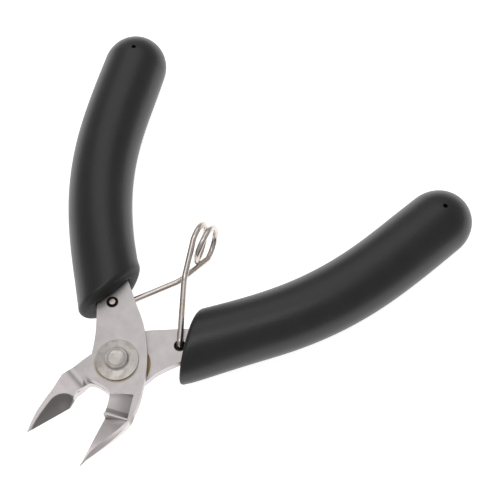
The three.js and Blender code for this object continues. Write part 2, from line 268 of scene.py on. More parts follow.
class Field:
    """A number that varies over a surface. Expressions on fields add Math nodes."""

    def __init__(self, finish, socket):
        self.finish = finish
        self.socket = socket

    def _math(self, operation, *values):
        return self.finish.node("ShaderNodeMath", {"operation": operation}, dict(enumerate(values)))

    def __add__(self, other):
        return self._math("ADD", self, other)

    def __radd__(self, other):
        return self._math("ADD", other, self)

    def __sub__(self, other):
        return self._math("SUBTRACT", self, other)

    def __rsub__(self, other):
        return self._math("SUBTRACT", other, self)

    def __mul__(self, other):
        return self._math("MULTIPLY", self, other)

    def __rmul__(self, other):
        return self._math("MULTIPLY", other, self)

    def __pow__(self, other):
        return self._math("POWER", self, other)

    def sine(self):
        return self._math("SINE", self)

    def rising(self, low, high):
        """0 below low, 1 above high, and smooth between them. High may be the lower one."""
        settings = {"interpolation_type": "SMOOTHSTEP"}
        values = {"Value": self, "From Min": min(low, high), "From Max": max(low, high)}
        ramp = self.finish.node("ShaderNodeMapRange", settings, values)
        return ramp if low < high else 1 - ramp

    def rising_mm(self, low, high):
        """As rising, with both limits in millimetres."""
        return self.rising(low * MM, high * MM)


class Finish:
    """One procedural material on a Principled surface, on Object coordinates."""

    def __init__(self, name, **constants):
        self.material = bpy.data.materials.new(name)
        self.material.use_nodes = True
        self.tree = self.material.node_tree
        self.surface = self.tree.nodes["Principled BSDF"]
        for socket, value in constants.items():
            self.surface.inputs[socket.replace("_", " ").title().replace("Ior", "IOR")].default_value = value

    def node(self, kind, settings=None, values=None, output=0):
        """Adds a node: its settings first, then the values or links of its sockets."""
        made = self.tree.nodes.new(kind)
        for key, value in (settings or {}).items():
            setattr(made, key, value)
        for key, value in (values or {}).items():
            self._plug(made.inputs[key], value)
        return Field(self, made.outputs[output])

    def _plug(self, socket, value):
        """Links a field, or sets a value. A colour of three numbers gets its fourth."""
        if isinstance(value, Field):
            self.tree.links.new(value.socket, socket)
        elif socket.type == "RGBA":
            socket.default_value = (*value, 1.0)
        else:
            socket.default_value = value

    def place(self, turn=0.0, scale=(1.0, 1.0, 1.0), rise=PLANE_HEIGHT * MM):
        """Object coordinates from an origin raised by rise, turned about Z and then stretched."""
        coordinates = self.node("ShaderNodeTexCoord", output=3)
        moved = self.node(
            "ShaderNodeVectorMath", {"operation": "SUBTRACT"}, {0: coordinates, 1: (0, 0, rise)}
        )
        turned = self.node(
            "ShaderNodeVectorRotate", {"rotation_type": "Z_AXIS"}, {"Vector": moved, "Angle": turn}
        )
        return self.node("ShaderNodeVectorMath", {"operation": "MULTIPLY"}, {0: turned, 1: scale})

    def axes(self, vector):
        """The x, y and z of a vector."""
        split = self.tree.nodes.new("ShaderNodeSeparateXYZ")
        self.tree.links.new(vector.socket, split.inputs[0])
        return [Field(self, split.outputs[i]) for i in range(3)]

    def noise(self, vector, scale, detail=3.0, roughness=0.5):
        values = {"Vector": vector, "Scale": scale, "Detail": detail, "Roughness": roughness}
        return self.node("ShaderNodeTexNoise", {"noise_dimensions": "3D"}, values)

    def cells(self, vector, scale):
        return self.node("ShaderNodeTexVoronoi", {"feature": "F1"}, {"Vector": vector, "Scale": scale})

    def corners(self, reach):
        """How open a point is to its own piece's other faces: 1 in the open, less in a corner."""
        settings = {"samples": 8, "only_local": True}
        return self.node("ShaderNodeAmbientOcclusion", settings, {"Distance": reach * MM}, output=1)

    def mix(self, mask, below, above):
        """The colour below where the mask is 0, and the colour above where it is 1."""
        return self.node("ShaderNodeMix", {"data_type": "RGBA"}, {0: mask, 6: below, 7: above}, output=2)

    def bump(self, height, depth, strength):
        """A normal from a height of 0 to 1, where 1 is depth millimetres."""
        values = {"Height": height, "Distance": depth * MM, "Strength": strength}
        return self.node("ShaderNodeBump", None, values)

    def feed(self, **sockets):
        """Feeds fields into the surface's sockets, and gives the finished material."""
        for socket, value in sockets.items():
            self._plug(self.surface.inputs[socket.replace("_", " ").title()], value)
        return self.material


def radius_of(x, y):
    return (x * x + y * y) ** 0.5


def turned_rings(radius, pitch):
    """Even rings of 0 to 1 about the pivot, a pitch in millimetres apart."""
    return (radius * (2 * math.pi / (pitch * MM))).sine() * 0.5 + 0.5


def toned(base, *factors):
    """A colour with its channels scaled, by one factor or by one each."""
    return tuple(c * f for c, f in zip(base, factors * 3 if len(factors) == 1 else factors))


def satin_steel(side, settings):
    """Tumbled plate steel with ground blade facets, old grease round the pivot and pits, with painted shade
    in corners, in the wire hole, on the front plate's land and in the rear blade's hollow.
    """
    finish = Finish("satin_steel_" + SIDE_NAME[side], metallic=1.0)
    turn = -side * HALF_OPEN
    place = finish.place(turn)
    x, y, z = finish.axes(place)
    cloud = finish.noise(place, 320.0, 4.0, 0.6)
    grain = finish.noise(place, 5200.0, 2.0, 0.6)
    brushed = finish.noise(finish.place(turn, (0.12, 1.0, 1.0)), 4200.0, 3.0, 0.7)
    grind = finish.noise(finish.place(turn, (1.0, 0.1, 1.0)), 5200.0, 2.0, 0.7)
    pits = finish.cells(place, 330.0).rising(0.06, 0.03) * cloud.rising(0.5, 0.62)
    blade = y.rising_mm(HEEL_Y + 0.3, HEEL_Y - 0.3)
    hole = radius_of(x + side * HOLE_X * MM, y - HOLE_Y * MM)
    # Painted shade: marks the wire hole's wall and a thin rim round it for darkening.
    hole_shade = hole.rising_mm(HOLE_R + 0.22, HOLE_R + 0.02)
    plain = finish.mix(cloud.rising(0.3, 0.75), toned(settings.steel, 0.93), toned(settings.steel, 1.05))
    steel = finish.mix(blade, plain, tuple(settings.ground))
    if side == REAR:
        over_top = z - REAR_TOP_Z * MM + REAR_TOP_RISE * (y - REAR_TOP_Y * MM)
        hollow = over_top.rising_mm(-0.04, -0.14) * blade
        # Painted shade: the rear blade's hollow is darkened to 0.4 of the ground steel.
        steel = finish.mix(hollow, steel, toned(settings.ground, 0.4))
        recess = radius_of(x - RECESS_CENTRE.x * MM, y - RECESS_CENTRE.y * MM)
        film = recess.rising_mm(RECESS_R + 0.15, RECESS_R - 0.1)
        film = film * z.rising_mm(RECESS_FLOOR, RECESS_FLOOR + 0.1)
    else:
        sunk = z.rising_mm(PLATE_FACE - 0.05, PLATE_FACE - 0.15)
        hollow = sunk * y.rising_mm(GROOVE_Y + 0.5, GROOVE_Y - 0.5) * (1 - blade)
        land = sunk * y.rising_mm(HEEL_Y + LAND_WIDTH + 0.2, HEEL_Y + LAND_WIDTH - 0.2) * (1 - blade)
        # Painted shade: the land between the groove and the heel is darkened.
        steel = finish.mix(land * 0.55, steel, LAND_SHADE)
        lower = y.rising_mm(1.0, -3.5) * cloud.rising(0.3, 0.6)
        film = radius_of(x, y).rising_mm(5.9, 5.1) * lower * z.rising_mm(PLATE_FACE - 0.25, PLATE_FACE - 0.05)
    shade = finish.mix(film * (0.75 + 0.25 * grain), steel, tuple(settings.film))
    shade = finish.mix(pits * 0.7, shade, PIT)
    # Painted shade: the wire hole's wall and its thin rim go nearly black.
    shade = finish.mix(hole_shade * 0.93, shade, HOLE_SHADE)
    shade = finish.mix((grain * 0.5 + brushed * 0.5).rising(0.42, 0.3) * 0.22, shade, DARK_GRAIN)
    # Painted shade: where the piece's own faces close in round a point, the steel is darkened.
    shade = finish.mix(finish.corners(0.9).rising(0.62, 0.3) * 0.7, shade, CORNER_SHADE)
    rough = settings.roughness + 0.1 * (cloud - 0.5) + 0.1 * (brushed - 0.5)
    rough = rough + 0.13 * blade + 0.2 * hole_shade + 0.16 * hollow
    relief = (1 - blade) * (0.5 * brushed + 0.5 * grain) + blade * grind - 0.8 * pits
    return finish.feed(base_color=shade, roughness=rough, normal=finish.bump(relief, 0.022, 0.9))


def turned_steel(settings):
    """Lathe-turned steel: fine concentric grooves of uneven depth, with a straw-coloured tarnish."""
    finish = Finish("turned_steel", metallic=1.0)
    place = finish.place()
    x, y, _ = finish.axes(place)
    grooves = turned_rings(radius_of(x, y), 0.16)
    wander = finish.noise(place, 520.0, 3.0, 0.6)
    uneven = finish.noise(place, 2400.0, 3.0, 0.7)
    tarnish = wander.rising(0.42, 0.68)
    shade = finish.mix(tarnish, tuple(settings.steel), toned(settings.steel, 0.84, 0.8, 0.74))
    rough = settings.roughness + 0.12 * (uneven - 0.4) + 0.06 * tarnish
    relief = 0.55 * grooves * (0.4 + 0.6 * wander) + 0.45 * uneven
    return finish.feed(base_color=shade, roughness=rough, normal=finish.bump(relief, 0.01, 0.7))


def drawn_steel(settings):
    """Bright drawn wire, with draw lines and faint straw-coloured patches."""
    finish = Finish("drawn_steel", metallic=1.0)
    patches = finish.noise(finish.place(rise=0.0), 450.0, 3.0, 0.6)
    lines = finish.noise(finish.place(scale=(1.0, 0.15, 1.0), rise=0.0), 5200.0, 3.0, 0.7)
    straw = toned(settings.steel, 0.86, 0.78, 0.66)
    shade = finish.mix(patches.rising(0.5, 0.72), tuple(settings.steel), straw)
    rough = settings.roughness + 0.1 * (patches - 0.45) + 0.06 * (lines - 0.5)
    return finish.feed(base_color=shade, roughness=rough, normal=finish.bump(lines, 0.005, 0.5))


def washer_bronze():
    """Darkened spring bronze of the friction washer, with faint rings."""
    finish = Finish("washer_bronze", metallic=1.0)
    place = finish.place()
    x, y, _ = finish.axes(place)
    cloud = finish.noise(place, 700.0, 4.0, 0.6)
    rings = turned_rings(radius_of(x, y), 0.3)
    shade = finish.mix(cloud.rising(0.35, 0.7), BRONZE, OLD_BRONZE)
    rough = 0.34 + 0.2 * (cloud - 0.5)
    return finish.feed(base_color=shade, roughness=rough, normal=finish.bump(rings * cloud, 0.01, 0.6))


def shade_filler_grease():
    """Near-black grease with a dull, uneven surface, a dark filler that stands in for the shade inside the
    wire holes.
    """
    finish = Finish("shade_filler_grease", specular_ior_level=0.4)
    lumps = finish.noise(finish.place(rise=0.0), 1500.0, 4.0, 0.6)
    # Painted shade: this near-black colour stands in for the shade inside the wire holes.
    shade = finish.mix(lumps.rising(0.35, 0.7), WET_GREASE_SHADE, DRY_GREASE_SHADE)
    rough = 0.5 + 0.3 * (lumps - 0.5)
    return finish.feed(base_color=shade, roughness=rough, normal=finish.bump(lumps, 0.06, 0.8))


def moulded_rubber(side, settings):
    """Fine-pebbled moulded rubber, smoother inside the mouth and painted darker there as shade, scuffed here
    and there.
    """
    finish = Finish("moulded_rubber_" + SIDE_NAME[side], specular_ior_level=0.6)
    turn = -side * HALF_OPEN
    place = finish.place(turn, rise=0.0)
    pebbles = finish.cells(place, 1900.0)
    fine = finish.noise(place, 3600.0, 3.0, 0.6)
    broad = finish.noise(place, 130.0, 3.0, 0.55)
    scuffs = finish.noise(finish.place(turn, (1.0, 0.25, 1.0), 0.0), 900.0, 4.0, 0.7).rising(0.62, 0.74)
    mouth = finish.node("ShaderNodeAttribute", {"attribute_name": "mouth"}, output=2)
    shade = finish.mix(broad.rising(0.3, 0.75), toned(settings.rubber, 0.82), toned(settings.rubber, 1.3))
    shade = finish.mix(scuffs * 0.35 * (1 - mouth), shade, SCUFF)
    # Painted shade: the slot and the mouth's face are darkened, fading out over the lip.
    shade = finish.mix(mouth * 0.75, shade, MOUTH_SHADE)
    rough = settings.roughness + 0.12 * (broad - 0.5) + 0.1 * (fine - 0.5) + 0.3 * mouth
    relief = (1 - mouth) * (0.6 * pebbles + 0.4 * fine)
    return finish.feed(base_color=shade, roughness=rough, normal=finish.bump(relief, 0.05, 0.55))


# ---------------------------------------------------------------- shapes


def face_outwards(mesh):
    """Merges a closed mesh's doubled points and turns its faces outwards."""
    shell = bmesh.new()
    shell.from_mesh(mesh)
    bmesh.ops.remove_doubles(shell, verts=shell.verts, dist=MERGE_GAP)
    bmesh.ops.recalc_face_normals(shell, faces=shell.faces)
    if shell.calc_volume(signed=True) < 0:
        bmesh.ops.reverse_faces(shell, faces=shell.faces)
    shell.to_mesh(mesh)
    shell.free()


def mesh_of(name, points, faces, crease=None):
    """A smooth-shaded closed mesh from points in millimetres, creased past an angle in degrees."""
    mesh = bpy.data.meshes.new(name)
    mesh.from_pydata([tuple(c * MM for c in p) for p in points], [], faces)
    face_outwards(mesh)
    mesh.shade_smooth()
    if crease is not None:
        mesh.set_sharp_from_angle(angle=math.radians(crease))
    return mesh


def object_of(name, data):
    """A new object at the origin, in the scene."""
    made = bpy.data.objects.new(name, data)
    bpy.context.scene.collection.objects.link(made)
    return made


def with_modifiers_made_real(obj):
    """Turns what the modifiers give into the object's own mesh."""
    evaluated = obj.evaluated_get(bpy.context.evaluated_depsgraph_get())
    mesh = bpy.data.meshes.new_from_object(evaluated)
    obj.modifiers.clear()
    obj.data = mesh
    return obj


def finish_piece(obj, material):
    """Gives a piece its material."""
    obj.data.materials.clear()
    obj.data.materials.append(material)


def half_to_tool(side):
    """From a half's closed position, with x measured to the half's own side, to the opened tool."""
    turn = Matrix.Rotation(side * HALF_OPEN, 4, "Z")
    mirror = Matrix.Diagonal((side, 1, 1, 1))
    return Matrix.Translation((0, 0, PLANE_HEIGHT)) @ turn @ mirror


def loft_faces(rows, around):
    """Quads between closed rings, and a fan at each end."""
    faces = []
    for r in range(rows - 1):
        for i in range(around):
            j = (i + 1) % around
            faces.append((r * around + i, r * around + j, (r + 1) * around + j, (r + 1) * around + i))
    faces.append(tuple(reversed(range(around))))
    faces.append(tuple(range((rows - 1) * around, rows * around)))
    return faces


def smooth_step(t):
    """0 to 1 over t from 0 to 1, level at both ends and beyond them."""
    t = min(1.0, max(0.0, t))
    return t * t * (3 - 2 * t)


def grip_heading(s):
    return GRIP_HEADING - GRIP_TURN * smooth_step(s / GRIP_BEND)


def beside_grip(s, u, z, steps=40):
    """A point at s along the grip's centre line, u to its inner side and z above the plane between plates."""
    point = GRIP_START.copy()
    for i in range(steps):
        middle = grip_heading(s * (i + 0.5) / steps)
        point += Vector((math.cos(middle), math.sin(middle))) * (s / steps)
    heading = grip_heading(s)
    return Vector((point.x + math.sin(heading) * u, point.y - math.cos(heading) * u, z))


def mouth_s(side, u):
    """How far along the grip its mouth is, at u to the grip's inner side."""
    return MOUTH_OFFSET + MOUTH_SLANT * u + MOUTH_BOW[side] * u * u


def squarish(angle):
    """A point of a unit square with rounded corners."""
    c, s = math.cos(angle), math.sin(angle)
    return math.copysign(abs(c) ** 0.3, c), math.copysign(abs(s) ** 0.3, s)


def grip_mesh(side, settings):
    """A sleeve of rings: out from the end of the slot, over the mouth's lip and on to the domed end."""
    lip = settings.lip / MM
    angles = [2 * math.pi * i / GRIP_SIDES for i in range(GRIP_SIDES)]
    slot_low = (LAP if side == FRONT else -PLATE_FACE) - SLOT_MARGIN
    slot_high = (PLATE_FACE if side == FRONT else -LAP) + SLOT_MARGIN
    slot_middle, slot_half = (slot_low + slot_high) / 2, (slot_high - slot_low) / 2

    def half_width(s):
        dome = max(0.0, (s - (GRIP_LENGTH - GRIP_DOME)) / GRIP_DOME)
        body = settings.half_width / MM + settings.swell / MM * min(1.0, max(0.0, s) / GRIP_BEND)
        return body * math.sqrt(max(1e-5, 1 - dome**DOME_POWER))

    def slot_uz(s, angle):
        """A point of the slot's wall: it hugs the plate at the mouth and the tang further in."""
        across, up = squarish(angle)
        inside = max(0.0, s)
        tang = SLOT_MARGIN + TANG_HALF - TANG_TAPER * inside / SLOT_END
        if across > 0:
            half = max(tang, SLOT_INNER_HALF - 0.2 * inside)
        else:
            half = SLOT_OUTER_HALF + (tang - SLOT_OUTER_HALF) * min(1.0, max(0.0, (s + 6) / 5))
        return half * across, slot_middle + slot_half * up

    def outer_uz(s, angle, inset=0.0):
        """A point of the outside at a length s, or of the same outline drawn in by inset."""
        width = half_width(s) - inset
        flare = INNER_FLARE[side] if math.cos(angle) > 0 else OUTER_FLARE[side]
        flare *= 1 - smooth_step((s - FLARE_START) / (FLARE_FADE - FLARE_START))
        flare *= abs(math.cos(angle))
        return (width + flare) * math.cos(angle), width * settings.flatness * math.sin(angle)

    def slot_wall(angle, depth):
        u, _ = slot_uz(MOUTH_OFFSET, angle)
        mouth_at = mouth_s(side, u)
        s = mouth_at + (SLOT_END - mouth_at) * depth
        return s, *slot_uz(s, angle)

    def mouth_face(angle, out):
        u0, z0 = slot_uz(MOUTH_OFFSET, angle)
        u1, z1 = outer_uz(MOUTH_OFFSET, angle, lip)
        u, z = u0 + (u1 - u0) * out, z0 + (z1 - z0) * out
        return mouth_s(side, u) - MOUTH_SWELL * math.sin(math.pi * out), u, z

    def lip_curve(angle, turn):
        u, z = outer_uz(MOUTH_OFFSET, angle, lip * (1 - math.sin(turn)))
        return mouth_s(side, u) + lip * (1 - math.cos(turn)), u, z

    def outside(angle, along):
        start = mouth_s(side, outer_uz(MOUTH_OFFSET, angle)[0]) + lip
        s = start + (GRIP_LENGTH - start) * along
        return s, *outer_uz(s, angle)

    rings, mouth = [], []

    def add_ring(make, step, darkness):
        rings.append([beside_grip(*make(angle, step)) for angle in angles])
        mouth.extend([darkness] * GRIP_SIDES)

    for depth in SLOT_RINGS:
        add_ring(slot_wall, depth, 1.0)
    for out in MOUTH_RINGS:
        add_ring(mouth_face, out, 1.0)
    for ring in range(1, LIP_RINGS + 1):
        add_ring(lip_curve, ring / LIP_RINGS * math.pi / 2, 1 - ring / LIP_RINGS)
    for ring in range(1, WALL_RINGS + 1):
        add_ring(outside, math.sin(ring / WALL_RINGS * math.pi / 2) ** 0.95, 0.0)

    placed = half_to_tool(side)
    points = [placed @ p for ring in rings for p in ring]
    mesh = mesh_of(SIDE_NAME[side] + "_grip_sleeve", points, loft_faces(len(rings), GRIP_SIDES))
    # The mouth attribute marks the slot and the mouth's face, fading over the lip: there the rubber is
    # smoother and painted darker as shade.
    attribute = mesh.attributes.new("mouth", "FLOAT", "POINT")
    attribute.data.foreach_set("value", mouth[: len(mesh.vertices)])
    return mesh


def drill_vent(grip, side, settings):
    """Cuts the small vent hole near the grip's end."""
    centre = half_to_tool(side) @ beside_grip(VENT_S, 0.0, VENT_Z)
    cutter = bmesh.new()
    bmesh.ops.create_cone(
        cutter,
        cap_ends=True,
        segments=28,
        radius1=settings.vent_radius,
        radius2=settings.vent_radius * 1.25,
        depth=VENT_DEPTH * MM,
        matrix=Matrix.Translation(centre * MM),
    )
    mesh = bpy.data.meshes.new("vent_drill")
    cutter.to_mesh(mesh)
    cutter.free()
    drill = object_of("vent_drill", mesh)
    cut = grip.modifiers.new("Vent", "BOOLEAN")
    cut.operation = "DIFFERENCE"
    cut.solver = "EXACT"
    cut.object = drill
    with_modifiers_made_real(grip)
    bpy.data.objects.remove(drill)
    grip.data.set_sharp_from_angle(angle=math.radians(50))


def rounded_plate(node, name, edge_radius):
    """A piece from a merged copy of a plate, with its sharp outer edges rounded and its faces kept flat."""
    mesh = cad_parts[node].data.copy()
    mesh.name = name
    shell = bmesh.new()
    shell.from_mesh(mesh)
    bmesh.ops.remove_doubles(shell, verts=shell.verts, dist=CAD_MERGE_GAP)
    bmesh.ops.dissolve_limit(
        shell,
        angle_limit=FLAT_ANGLE,
        verts=shell.verts,
        edges=shell.edges,
        use_dissolve_boundaries=False,
    )
    sharp = [
        e
        for e in shell.edges
        if len(e.link_faces) == 2 and e.calc_face_angle(0.0) > EDGE_ANGLE and e.is_convex
    ]
    bmesh.ops.bevel(
        shell,
        geom=sharp,
        offset=edge_radius,
        offset_type="OFFSET",
        segments=2,
        profile=0.5,
        affect="EDGES",
        clamp_overlap=True,
    )
    shell.to_mesh(mesh)
    shell.free()
    mesh.shade_smooth()
    mesh.set_sharp_from_angle(angle=CREASE_ANGLE)
    plate = object_of(name, mesh)
    weights = plate.modifiers.new("Flat faces", "WEIGHTED_NORMAL")
    weights.keep_sharp = True
    weights.weight = 100
    return with_modifiers_made_real(plate)


def corner_curve(enter, corner, leave, steps):
    """Points of the curve that leaves one run at enter and joins the next at leave."""
    shares = [i / steps for i in range(steps + 1)]
    return [enter * (1 - t) ** 2 + corner * 2 * t * (1 - t) + leave * t * t for t in shares]


def eased(profile, reach):
    """A profile with each of its inner corners rounded over a short reach."""
    line = [Vector(point) for point in profile]
    out = [line[0]]
    for before, corner, after in zip(line, line[1:], line[2:]):
        back = min(reach, 0.45 * (before - corner).length)
        on = min(reach, 0.45 * (after - corner).length)
        enter = corner + (before - corner).normalized() * back
        leave = corner + (after - corner).normalized() * on
        out.extend(corner_curve(enter, corner, leave, 5))
    return [*out, line[-1]]


def turned_mesh(name, profile, segments=128):
    """A body turned about the pivot's axis, from radii and heights that start and end on it."""
    points = [Vector((0, 0, profile[0][1] + PLANE_HEIGHT))]
    inner = profile[1:-1]
    for r, z in inner:
        for i in range(segments):
            angle = 2 * math.pi * i / segments
            points.append(Vector((r * math.cos(angle), r * math.sin(angle), z + PLANE_HEIGHT)))
    points.append(Vector((0, 0, profile[-1][1] + PLANE_HEIGHT)))
    faces = []
    last = len(points) - 1
    for i in range(segments):
        j = (i + 1) % segments
        faces.append((0, 1 + j, 1 + i))
        for r in range(len(inner) - 1):
            a, b = 1 + r * segments, 1 + (r + 1) * segments
            faces.append((a + i, a + j, b + j, b + i))
        top = 1 + (len(inner) - 1) * segments
        faces.append((last, top + i, top + j))
    return mesh_of(name, points, faces, crease=40)


def shade_filler_mesh(name, side):
    """A ring of old grease packed round the wire in a half's hole, with a hollow top: a near-black filler
    that stands in for the shade inside the hole.
    """
    segments = 40
    low, high = (LAP + 0.2, PLATE_FACE - 0.7) if side == FRONT else (-PLATE_FACE + 0.5, -LAP - 0.5)
    inner, outer = WIRE_CLEARANCE_R, HOLE_R - 0.02
    dip = (inner + outer) / 2 + 0.02
    profile = [(inner, low), (outer, low), (outer, high), (dip, high - 0.22), (inner, high - 0.1)]
    x, y = opened_hole(side)
    points = []
    for i in range(segments):
        angle = 2 * math.pi * i / segments
        for r, z in profile:
            points.append(Vector((x + r * math.cos(angle), y + r * math.sin(angle), z + PLANE_HEIGHT)))
    count = len(profile)
    faces = []
    for i in range(segments):
        a, b = i * count, (i + 1) % segments * count
        for k in range(count):
            n = (k + 1) % count
            faces.append((a + k, b + k, b + n, a + n))
    return mesh_of(name, points, faces, crease=50)


# ---------------------------------------------------------------- spring


def opened_hole(side):
    """The middle of a half's wire hole in the opened tool."""
    x = HOLE_X * math.cos(HALF_OPEN) + HOLE_Y * math.sin(HALF_OPEN)
    y = HOLE_Y * math.cos(HALF_OPEN) - HOLE_X * math.sin(HALF_OPEN)
    return -side * x, y


def bend_through(points):
    """Straight runs with a rounded bend at each inner point. Gives one list per run and per bend."""
    runs = []
    start = points[0]
    for before, corner, after in zip(points, points[1:], points[2:]):
        enter = corner + (before - corner).normalized() * WIRE_BEND
        leave = corner + (after - corner).normalized() * WIRE_BEND
        runs.append([start, enter])
        runs.append(corner_curve(enter, corner, leave, 8))
        start = leave
    return [*runs, [start, points[-1]]]


def coil_points(steps=96):
    """The coil's centre line: a turn and a bit, from where the front neck touches it to the rear one."""
    forward = Vector((-math.sin(COIL_YAW), math.cos(COIL_YAW)))

    def tangent_angle(neck):
        along = (neck.xy - COIL_CENTRE).dot(forward)
        return math.atan2(abs(neck.z), along) - math.acos(COIL_R / math.hypot(along, neck.z))

    lead = tangent_angle(FRONT_NECK)
    sweep = lead + 2 * math.pi + tangent_angle(REAR_NECK)
    points = []
    for i in range(steps + 1):
        t = i / steps
        angle = sweep * t - lead
        along = COIL_R * math.cos(angle)
        across = COIL_HALF_WIDTH * math.cos(math.pi * t)
        x = COIL_CENTRE.x + along * forward.x + across * forward.y
        y = COIL_CENTRE.y + along * forward.y - across * forward.x
        points.append(Vector((x, y, COIL_R * math.sin(angle))))
    return points


def spring_lines():
    """Centre lines of the front leg, the coil with both necks, and the rear leg."""
    coil = coil_points()
    fx, fy = opened_hole(FRONT)
    rx, ry = opened_hole(REAR)
    tip = PLATE_FACE + WIRE_END_REACH
    front = bend_through([Vector((fx, fy, tip)), Vector((fx, fy, FRONT_NECK.z)), FRONT_NECK, coil[0]])
    rear = bend_through([coil[-1], REAR_NECK, Vector((rx, ry, REAR_NECK.z)), Vector((rx, ry, -tip))])

    def joined(parts):
        line = []
        for part in parts:
            line.extend(p for p in part if not line or (p - line[-1]).length > 1e-6)
        return line

    return joined(front[:3]), joined(front[3:] + [coil] + rear[:2]), joined(rear[2:])


def wire_tree():
    """Geometry Nodes that sweep a round section along a line of edges, and the inputs' identifiers."""
    tree = bpy.data.node_groups.new("Drawn wire", "GeometryNodeTree")
    face = tree.interface
    face.new_socket("Geometry", in_out="INPUT", socket_type="NodeSocketGeometry")
    radius = face.new_socket("Wire Radius", in_out="INPUT", socket_type="NodeSocketFloat")
    sides = face.new_socket("Sides", in_out="INPUT", socket_type="NodeSocketInt")
    spacing = face.new_socket("Ring Spacing", in_out="INPUT", socket_type="NodeSocketFloat")
    material = face.new_socket("Finish", in_out="INPUT", socket_type="NodeSocketMaterial")
    face.new_socket("Geometry", in_out="OUTPUT", socket_type="NodeSocketGeometry")
    add = tree.nodes.new
    link = tree.links.new
    given = add("NodeGroupInput")
    line = add("GeometryNodeMeshToCurve")
    even = add("GeometryNodeResampleCurve")
    even.mode = "LENGTH"
    section = add("GeometryNodeCurvePrimitiveCircle")
    sweep = add("GeometryNodeCurveToMesh")
    smooth = add("GeometryNodeSetShadeSmooth")
    realize = add("GeometryNodeRealizeInstances")
    coat = add("GeometryNodeSetMaterial")
    result = add("NodeGroupOutput")
    link(given.outputs["Geometry"], line.inputs["Mesh"])
    link(line.outputs["Curve"], even.inputs["Curve"])
    link(given.outputs["Ring Spacing"], even.inputs["Length"])
    link(even.outputs["Curve"], sweep.inputs["Curve"])
    link(given.outputs["Sides"], section.inputs["Resolution"])
    link(given.outputs["Wire Radius"], section.inputs["Radius"])
    link(section.outputs["Curve"], sweep.inputs["Profile Curve"])
    sweep.inputs["Fill Caps"].default_value = True
    link(sweep.outputs["Mesh"], smooth.inputs["Geometry"])
    link(smooth.outputs["Geometry"], realize.inputs["Geometry"])
    link(realize.outputs["Geometry"], coat.inputs["Geometry"])
    link(given.outputs["Finish"], coat.inputs["Material"])
    link(coat.outputs["Geometry"], result.inputs["Geometry"])
    names = {"radius": radius, "sides": sides, "spacing": spacing, "finish": material}
    return tree, {key: socket.identifier for key, socket in names.items()}


def wire_piece(name, line, tree, sockets, settings, material):
    """One stretch of the spring as a mesh."""
    lifted = [(p + Vector((0, 0, PLANE_HEIGHT))) * MM for p in line]
    mesh = bpy.data.meshes.new(name)
    mesh.from_pydata([tuple(p) for p in lifted], [(i, i + 1) for i in range(len(lifted) - 1)], [])
    piece = object_of(name, mesh)
    sweep = piece.modifiers.new("Drawn wire", "NODES")
    sweep.node_group = tree
    sweep[sockets["radius"]] = settings.wire_radius
    sweep[sockets["sides"]] = settings.sides
    sweep[sockets["spacing"]] = RING_SPACING * MM
    sweep[sockets["finish"]] = material
    with_modifiers_made_real(piece)
    face_outwards(piece.data)
    piece.data.set_sharp_from_angle(angle=math.radians(50))
    return piece


# ---------------------------------------------------------------- stage


def area_light(name, direction, distance, size, power, along):
    """A soft light that faces the tool, with its longer side along a direction."""
    data = bpy.data.lights.new(name, "AREA")
    data.shape = "RECTANGLE"
    data.size, data.size_y = size
    data.energy = power
    light = object_of(name, data)
    aim = Vector((0, LIGHT_AIM_Y, PLANE_HEIGHT)) * MM
    way = Vector(direction).normalized()
    light.location = aim + way * distance
    light.rotation_mode = "QUATERNION"
    side = Vector(along).cross(way).cross(way).normalized() * -1
    light.rotation_quaternion = Matrix((side, way.cross(side), way)).transposed().to_quaternion()


# ---------------------------------------------------------------- operators


class CUTTER_OT_plates(bpy.types.Operator):
    """Make both jaw plates with rounded edges, and the near-black grease in their wire holes that stands in
    for the shade inside them
    """

    bl_idname = "cutter.plates"
    bl_label = "Jaw plates"

    def execute(self, context):
        settings = context.scene.flush_cutter.plates
        hole_filler_finish = shade_filler_grease()
        for side in (FRONT, REAR):
            name = SIDE_NAME[side] + "_plate"
            node = SIDE_NAME[side] + "_jaw_plate"
            plate = rounded_plate(node, name, settings.edge_radius)
            finish_piece(plate, satin_steel(side, settings))
            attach(plate, BODY[side])
            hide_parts(node)
            ring_name = SIDE_NAME[side] + "_hole_shade_filler"
            ring = object_of(ring_name, shade_filler_mesh(ring_name, side))
            ring.data.materials.append(hole_filler_finish)
            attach(ring, BODY[side])
        return {"FINISHED"}


class CUTTER_OT_grips(bpy.types.Operator):
    """Make both moulded grips with a rounded lip, a slot for the tang and a vent hole"""

    bl_idname = "cutter.grips"
    bl_label = "Grips"

    def execute(self, context):
        settings = context.scene.flush_cutter.grips
        for side in (FRONT, REAR):
            grip = object_of(SIDE_NAME[side] + "_grip_sleeve", grip_mesh(side, settings))
            drill_vent(grip, side, settings)
            finish_piece(grip, moulded_rubber(side, settings))
            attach(grip, BODY[side])
            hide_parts(SIDE_NAME[side] + "_grip")
        return {"FINISHED"}


